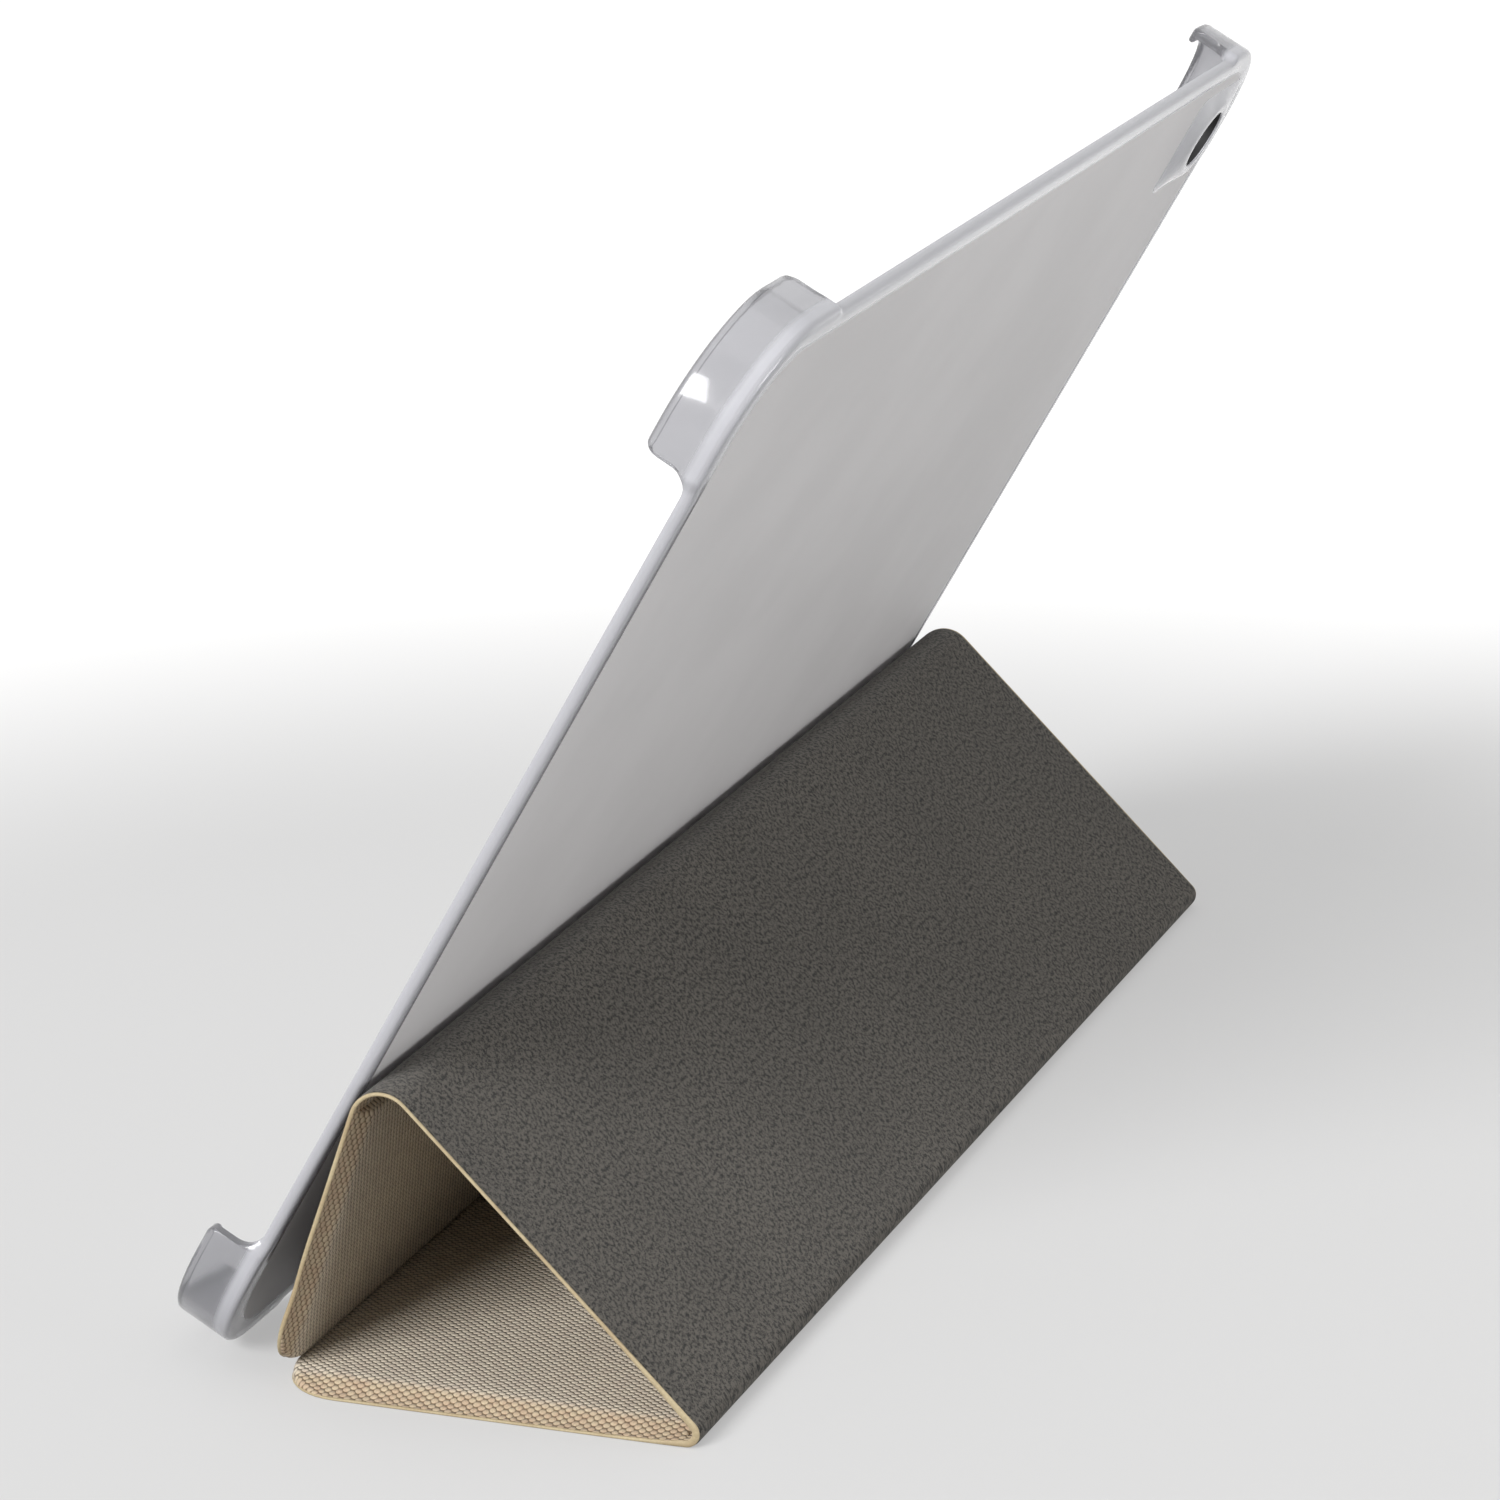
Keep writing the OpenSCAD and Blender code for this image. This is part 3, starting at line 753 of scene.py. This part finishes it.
# ---- soft folds ----


def fold_pieces(name, arc, centre, radius, cloth_span, edge_of):
    """Canvas, lining and painted edge of a soft fold, drawn bent round its arc."""
    place = on_arc(centre, radius, arc)
    steps = max(6, round((arc[1] - arc[0]) / 7))
    turns = np.concatenate([[arc[0] - 1], np.linspace(*arc, steps + 1), [arc[1] + 1]])
    scale = (cloth_span[1] - cloth_span[0] - 2 * FOLD_GAP) / (arc[1] - arc[0])
    bent_rows = cloth_span[0] + FOLD_GAP + (turns[1:-1] - arc[0]) * scale
    cloth_rows = np.concatenate([[cloth_span[0]], bent_rows, [cloth_span[1]]])

    made = []
    for kind, material, slot in (("cloth", canvas, "canvas"), ("suede", lining, "microfibre")):
        inset = BEAD_IN if kind == "cloth" else LINING_IN
        half = HALF - inset
        xs = np.repeat([column_places(half)], len(turns), axis=0)
        ys = np.repeat(turns[:, None], xs.shape[1], axis=1)
        distance = half - np.abs(xs)
        if kind == "cloth":
            top = roll_height(distance, edge_of(ys) - 0.04, FOLD_T, 1, 0)
            under = np.maximum(top - CANVAS_T, 0.25)
            extra = roll_length(distance, EDGE_H, PANEL_T)
        else:
            top = pressed(distance)
            under = np.full_like(top, SUEDE_T)
            extra = np.zeros_like(top)
        cloth = np.stack([xs + np.sign(xs) * extra, np.repeat(cloth_rows[:, None], xs.shape[1], 1)], -1)
        piece = slab(f"{name}_{kind}", place(np.stack([xs, ys, top], -1)),
                     place(np.stack([xs, ys, under], -1)), cloth, material, sharp=60)
        made.append((piece, kind, slot))

    parts = []
    for side in (1, -1):
        rings = np.array([[(side * (HALF - e), a, share * edge_of(a)) for e, share in BEAD]
                          for a in turns])
        parts.append(tube(f"{name}_edge_{side}", place(rings), rings[..., :2], edge_paint))
    made.append((join(f"{name}_painted_edge", parts), "edge", "edge_paint"))
    for piece, kind, slot in made:
        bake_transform(piece)
    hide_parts(f"{name}_canvas")
    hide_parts(f"{name}_lining")


fold_pieces("front_fold", FRONT_ARC, FRONT_CENTRE, PANEL_T,
            (BASE_Y[1] - FOLD_GAP, FRONT_AXIS[0] + SLOPE_Y[0]),
            lambda a: EDGE_H + EDGE_FRONT + 0 * a)
fold_pieces("ridge", RIDGE_ARC, RIDGE_CENTRE, RIDGE_R,
            (FRONT_AXIS[0] + SLOPE_Y[1], FRONT_AXIS[0] + RIDGE_REACH + LEAN_Y[0]),
            lambda a: EDGE_H + EDGE_LEAN * np.clip((a - RIDGE_ARC[0]) / 115, 0, 1))


# ---- spine and its flap ----

def strip(name, length, across, low, high, place, material):
    """A flat strip of cloth along x, with softened edges."""
    soft = STRIP_EDGE
    y0, y1 = across
    z0, z1 = low, high
    section = [(y0, z0 + soft), (y0 + soft, z0), (y1 - soft, z0), (y1, z0 + soft),
               (y1, z1 - soft), (y1 - soft, z1), (y0 + soft, z1), (y0, z1 - soft)]
    xs = np.linspace(-length / 2, length / 2, 61)
    rings = np.array([[(x, y, z) for y, z in section] for x in xs])
    return tube(name, place(rings), rings[..., :2], material)


dress(strip("spine_cloth", SPINE_LEN, SPINE_Y, SPINE_Z[2], SPINE_Z[3], in_base, canvas),
      "spine", "canvas", "spine_canvas")
dress(strip("spine_suede", SPINE_LEN, SPINE_Y, SPINE_Z[0], SPINE_Z[1], in_base, lining),
      "spine", "microfibre", "spine_lining")
dress(strip("flap_cloth", SPINE_LEN, FLAP_S, *FLAP_T, in_tray, canvas),
      "tray", "canvas", "hinge_flap")


def bridge(name, path, thickness):
    """The bare cloth of the hinge between two stiff pieces, along a path of y and z."""
    path = np.array(path, float)
    way = np.gradient(path, axis=0)
    way /= np.linalg.norm(way, axis=1)[:, None]
    side = np.stack([-way[:, 1], way[:, 0]], -1) * thickness / 2
    section = np.concatenate([path + side, (path - side)[::-1]])
    xs = np.linspace(-SPINE_LEN / 2, SPINE_LEN / 2, 61)
    rings = np.array([[(x, y, z) for y, z in section] for x in xs])
    piece = tube(name, rings, rings[..., :2], canvas)
    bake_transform(piece)
    return piece


def curve(points, count):
    """A smooth path through a few points."""
    points = np.array(points, float)
    along = np.concatenate([[0], np.cumsum(np.linalg.norm(np.diff(points, axis=0), axis=1))])
    places = np.linspace(0, along[-1], count)
    path = np.stack([np.interp(places, along, points[:, k]) for k in (0, 1)], -1)
    for _ in range(3):
        path[1:-1] = (path[:-2] + 2 * path[1:-1] + path[2:]) / 4
    return path


bridge("base_hinge_cloth", curve([(-31.9, 0.75), (-32.4, 0.62), (-33.1, 0.6), (-33.6, 0.6)], 9), 0.4)
flap_mid = in_tray(np.array([0, FLAP_S[0] + 0.1, (FLAP_T[0] + FLAP_T[1]) / 2]))[1:]
bridge("tray_hinge_cloth",
       curve([(SPINE_Y[0] + 0.1, SPINE_AXIS_Z), (TRAY_FOLD_Y + 0.1, SPINE_AXIS_Z),
              (TRAY_FOLD_Y + 0.05, SPINE_AXIS_Z + 0.2), flap_mid], 13), 0.4)


# ---- tray ----

def tray_stations():
    """Places round the tablet's outline.

    Each is a point, its way out, the wall's height, how far along its side it lies, and where on
    that side the corner walls stop and start again.
    """
    half_x, r = TABLET_LEN / 2, TABLET_CORNER
    foot = [CAP_FILLET * (1 - math.sin(math.radians(a))) for a in range(0, 91, 10)]
    rise = [RIM_H + CAP_FILLET * (1 - math.cos(math.radians(a))) for a in range(0, 91, 10)]
    top_r = 1.5
    end = [(g, h) for g, h in zip(foot, rise)]
    end += [(-0.02, 5.4), (-0.03, TRAY_TOP - top_r)]
    end += [(-0.03 - top_r * (1 - math.cos(math.radians(a))),
             TRAY_TOP - top_r + top_r * math.sin(math.radians(a))) for a in range(15, 91, 15)]

    def side(length, start_cap, stop_cap, point, out, steps):
        """Stations along one straight side, from one corner's arc to the next."""
        run = []
        first = [(start_cap + g, h) for g, h in reversed(end)]
        last = [(length - stop_cap - g, h) for g, h in end]
        if r + 0.5 < first[0][0] - 0.5:
            run.append((r + 0.5, TRAY_TOP))
        run += first
        lo, hi = first[-1][0], last[0][0]
        run += [(lo + (hi - lo) * i / steps, RIM_H) for i in range(1, steps)]
        run += last
        if length - r - 0.5 > last[-1][0] + 0.5:
            run.append((length - r - 0.5, TRAY_TOP))
        return [(point(a), out, h, a, start_cap, length - stop_cap) for a, h in run]

    def arc(cx, cs, a0):
        made = []
        for k in range(0, 13):
            a = math.radians(a0 + 90 * k / 12)
            out = (math.cos(a), math.sin(a))
            made.append(((cx + r * out[0], cs + r * out[1]), out, TRAY_TOP, 0, 1, 0))
        return made

    w = TABLET_WID
    stations = side(TABLET_LEN, CAP_LONG_FAR, CAP_LONG_NEAR, lambda a: (-half_x + a, 0), (0, -1), 60)
    stations += arc(half_x - r, r, -90)
    stations += side(w, CAP_SHORT, CAP_SHORT, lambda a: (half_x, a), (1, 0), 44)
    stations += arc(half_x - r, w - r, 0)
    stations += side(TABLET_LEN, CAP_LONG_NEAR, CAP_LONG_FAR, lambda a: (half_x - a, w), (0, 1), 60)
    stations += arc(-half_x + r, w - r, 90)
    stations += side(w, CAP_SHORT, CAP_SHORT, lambda a: (-half_x, w - a), (-1, 0), 44)
    stations += arc(-half_x + r, r, 180)
    return stations


GROOVE = [(-2.7, 0.0), (-2.45, 0.0), (-2.3, 0.07), (-2.15, 0.0)]


def smooth(t):
    t = min(max(t, 0.0), 1.0)
    return t * t * (3 - 2 * t)


def tray_section(height, out):
    """Section of the tray's edge: (distance out of the tablet's outline, height) from back to front."""
    walled = smooth((height - RIM_H) / CAP_FILLET)
    lip = math.sqrt(min(max((height - BAY_H + 0.3) / (TRAY_TOP - BAY_H + 0.3), 0.0), 1.0))
    bevel = 0.15 + 0.75 * walled
    inner = BAY_CLEAR
    points = [(d, -PLATE_T + rise) for d, rise in GROOVE]
    for a in (0, 15, 30, 45, 60, 75, 90):
        a = math.radians(a)
        points.append((out - BACK_ROLL * (1 - math.sin(a)), -PLATE_T + BACK_ROLL * (1 - math.cos(a))))
    points.append((out, (height - bevel - 0.4) / 2))
    for a in (0, 30, 60, 90):
        a = math.radians(a)
        points.append((out - bevel * (1 - math.cos(a)), height - bevel + bevel * math.sin(a)))
    tip = inner - (inner + LIP_REACH) * lip
    tip_r = 0.08 + 0.22 * lip
    under = (1 - lip) * (height - 0.12) + lip * BAY_H
    points += [(tip + tip_r, height), (tip + tip_r * 0.3, height - tip_r * 0.3), (tip, height - tip_r)]
    points += [(tip, under + 0.4 * (height - tip_r - under) * lip), (tip + 0.12 * lip, under)]
    points += [(inner, under - 0.001), (inner, under * 0.5), (inner, 0.0), (-1.5, 0.0)]
    return points


def tray_body():
    rings = []
    for (px, ps), (out_x, out_s), height, along, start, stop in tray_stations():
        gap = min(along - start, stop - along)
        out = RIM_OUT + (CAP_OUT - RIM_OUT) * smooth((2.6 - gap) / 2.6)
        rings.append([(px + out_x * d, ps + out_s * d, t) for d, t in tray_section(height, out)])
    rings = np.array(rings)
    count, around = rings.shape[:2]
    faces = faces_of_grid(count, around, close_rows=True)
    faces.append(tuple(i * around for i in range(count)))
    faces.append(tuple(i * around + around - 1 for i in range(count)))
    return make("tray_shell", in_tray(rings.reshape(-1, 3)), faces, [])


def collar_outline(share):
    """Outline of the collar: a rounded rectangle at its foot (0) and a circle at its crest (1)."""
    points = []
    hx, hy, r = COLLAR_LEN / 2, COLLAR_WID / 2, COLLAR_CORNER
    for k in range(ROUND_STEPS):
        a = 2 * math.pi * k / ROUND_STEPS
        c, s = math.cos(a), math.sin(a)
        side = min(hx / max(abs(c), 1e-6), hy / max(abs(s), 1e-6))
        px, py = side * c, side * s
        cx, cy = hx - r, hy - r
        if abs(px) > cx and abs(py) > cy:
            ux, uy = cx * math.copysign(1, c), cy * math.copysign(1, s)
            along = c * ux + s * uy
            side = along + math.sqrt(max(r * r - (ux * ux + uy * uy - along * along), 0))
            px, py = side * c, side * s
        crest = COLLAR_CREST_D / 2
        points.append((px + (crest * c - px) * share, py + (crest * s - py) * share))
    return points


def collar():
    """The raised collar round the camera window, square at its foot and round at its crest."""
    profile = [(-0.06, -0.3), (-0.06, 0.02), (-0.02, 0.05), (0.03, 0.12), (0.12, 0.24), (0.5, 0.76),
               (0.84, 1.2), (0.93, 1.31), (1.0, 1.37), (1.08, COLLAR_H), (1.16, COLLAR_H)]
    rings = np.array([[(WINDOW_X + x, WINDOW_S + y, -PLATE_T - h) for x, y in collar_outline(share)]
                      for share, h in profile])
    return make("collar", in_tray(rings.reshape(-1, 3)), capped_faces(rings), [])


def window_cutter():
    """The camera window's hole, with a small round lead-in at the crest."""
    r = WINDOW_D / 2
    crest = -PLATE_T - COLLAR_H
    profile = [(r, 1.0), (r, crest + 0.25), (r + 0.08, crest + 0.1), (r + 0.3, crest - 0.02),
               (r + 0.5, crest - 0.3)]
    turns = np.linspace(0, 2 * math.pi, ROUND_STEPS, endpoint=False)
    rings = np.array([[(WINDOW_X + q * math.cos(a), WINDOW_S + q * math.sin(a), t) for a in turns]
                      for q, t in profile])
    return make("cutter", in_tray(rings.reshape(-1, 3)), capped_faces(rings), [])


def hinge_notch():
    """Where the spine folds up past the plate's lower edge."""
    x = SPINE_LEN / 2 + 1
    t0, t1 = -PLATE_T - 1, RIM_H + 1
    corners = [(px, ps, pt) for px in (-x, x) for ps in (-CAP_OUT - 1, 0) for pt in (t0, t1)]
    faces = [(0, 1, 3, 2), (4, 5, 7, 6), (0, 1, 5, 4), (2, 3, 7, 6), (0, 2, 6, 4), (1, 3, 7, 5)]
    return make("notch", in_tray(np.array(corners, float)), faces, [])


tray = tray_body()
boolean(tray, collar(), "UNION")
boolean(tray, window_cutter(), "DIFFERENCE")
boolean(tray, hinge_notch(), "DIFFERENCE")
window_centre = Vector(in_tray(np.array([WINDOW_X, WINDOW_S, 0.0]))) * MM
window_way = Vector(turn_x(np.array([0, 0, 1.0]), TRAY_ANGLE))
tray.data.materials.append(clear)
tray.data.materials.append(window_black)
for face in tray.data.polygons:
    off = face.center - window_centre
    radial = (off - window_way * off.dot(window_way)).length
    hole_wall = radial < (WINDOW_D / 2 + 0.05) * MM and abs(face.normal.dot(window_way)) < 0.3
    face.material_index = 1 if hole_wall else 0
tray.data.shade_smooth()
tray.data.set_sharp_from_angle(angle=math.radians(SHARP_TUBE))
dress(tray, "tray", "clear_plastic", "back_shell")


# ---- hidden CAD nodes ----

for node, material in (("spine_strip", board), ("foot_magnets", plating),
                       ("wake_magnets", plating), ("base_keepers", keeper)):
    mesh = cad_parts[node].data
    mesh.materials.clear()
    mesh.materials.append(material)


# ---- camera, floor and light ----

FLOOR_GREY = 0.34
FLOOR_GLOW = (0.4, 0.85)    # the floor's own light, near the part and far from it; the weaker glow near the part paints a grey shade round it, and the stronger one far off paints out shadows there
GLOW_REACH = (170, 420)     # where the one starts to turn into the other, and where it has
ROOM_LIGHT = 0.31
CAMERA_PLACE = (831.281, 302.710, 328.957)
CAMERA_TURN = (1.208015152, 1.706697798, -1.282046084)
LENS = 139.268


def add_camera():
    data = bpy.data.cameras.new("camera")
    data.lens = LENS
    data.sensor_width = 36
    data.clip_start = 0.05
    data.clip_end = 20
    camera = bpy.data.objects.new("camera", data)
    turn = Vector(CAMERA_TURN)
    into_view = Quaternion(turn.normalized(), turn.length).to_matrix()
    facing = into_view.transposed() @ Matrix.Diagonal((1, -1, -1))
    camera.matrix_world = Matrix.Translation(Vector(CAMERA_PLACE) * MM) @ facing.to_4x4()
    bpy.context.scene.collection.objects.link(camera)
    bpy.context.scene.camera = camera


def add_floor():
    n = Nodes("floor")
    path = n.add("ShaderNodeLightPath")
    seen = n.math("MAXIMUM", path.outputs["Is Camera Ray"],
                  n.math("MAXIMUM", path.outputs["Is Glossy Ray"], path.outputs["Is Transmission Ray"]))
    diffuse = n.add("ShaderNodeBsdfDiffuse")
    diffuse.inputs["Color"].default_value = (FLOOR_GREY, FLOOR_GREY, FLOOR_GREY, 1)
    glow = n.add("ShaderNodeEmission")
    glow.inputs["Color"].default_value = (1, 0.995, 0.99, 1)
    x, y, _ = n.split(n.place())
    away = n.math("SQRT", n.math("ADD", n.math("MULTIPLY", x, x), n.math("MULTIPLY", y, y)))
    # Painted shade and light: the glow is weaker near the part, greying the floor round it, and
    # stronger far off, whitening any shadow there.
    strength = n.math("MULTIPLY", seen, n.ramp(away, *GLOW_REACH, *FLOOR_GLOW))
    n.link(strength, glow.inputs["Strength"])
    both = n.add("ShaderNodeAddShader")
    n.tree.links.new(diffuse.outputs[0], both.inputs[0])
    n.tree.links.new(glow.outputs[0], both.inputs[1])
    n.tree.links.new(both.outputs[0], n.out.inputs["Surface"])
    size = 3000
    corners = np.array([(-size, -size, 0), (size, -size, 0), (size, size, 0), (-size, size, 0)], float)
    floor = make("floor", corners, [(0, 1, 2, 3)], [n.material])


def add_world():
    world = bpy.data.worlds.new("studio")
    bpy.context.scene.world = world
    world.use_nodes = True
    tree = world.node_tree
    tree.nodes.clear()
    out = tree.nodes.new("ShaderNodeOutputWorld")
    path = tree.nodes.new("ShaderNodeLightPath")
    first = tree.nodes.new("ShaderNodeMath")
    first.operation = "MAXIMUM"
    tree.links.new(path.outputs["Is Camera Ray"], first.inputs[0])
    tree.links.new(path.outputs["Is Glossy Ray"], first.inputs[1])
    second = tree.nodes.new("ShaderNodeMath")
    second.operation = "MAXIMUM"
    tree.links.new(first.outputs[0], second.inputs[0])
    tree.links.new(path.outputs["Is Transmission Ray"], second.inputs[1])
    soft = tree.nodes.new("ShaderNodeBackground")
    soft.inputs["Color"].default_value = (0.98, 0.99, 1, 1)
    soft.inputs["Strength"].default_value = ROOM_LIGHT
    white = tree.nodes.new("ShaderNodeBackground")
    white.inputs["Color"].default_value = (1, 1, 1, 1)
    white.inputs["Strength"].default_value = 1.0
    mix = tree.nodes.new("ShaderNodeMixShader")
    tree.links.new(second.outputs[0], mix.inputs[0])
    tree.links.new(soft.outputs[0], mix.inputs[1])
    tree.links.new(white.outputs[0], mix.inputs[2])
    tree.links.new(mix.outputs[0], out.inputs["Surface"])


def add_softbox(name, place, aim, size, power):
    """A square area light. place and aim are in metres, power in watts."""
    data = bpy.data.lights.new(name, "AREA")
    data.shape = "RECTANGLE"
    data.size, data.size_y = size
    data.energy = power
    light = bpy.data.objects.new(name, data)
    light.location = place
    light.rotation_euler = (Vector(aim) - Vector(place)).to_track_quat("-Z", "Y").to_euler()
    bpy.context.scene.collection.objects.link(light)


bpy.context.scene.view_settings.view_transform = "Standard"
add_camera()
add_floor()
add_world()
add_softbox("top_light", (0.1, 0.0, 1.5), (0, 0, 0), (1.4, 1.4), 4)
add_softbox("end_light", (4.43, -1.24, 2.62), (0.1, 0, 0.02), (2.4, 1.8), 292)
add_softbox("front_light", (0.1, 1.6, 0.22), (-0.05, 0, 0.1), (0.9, 0.38), 10.5)
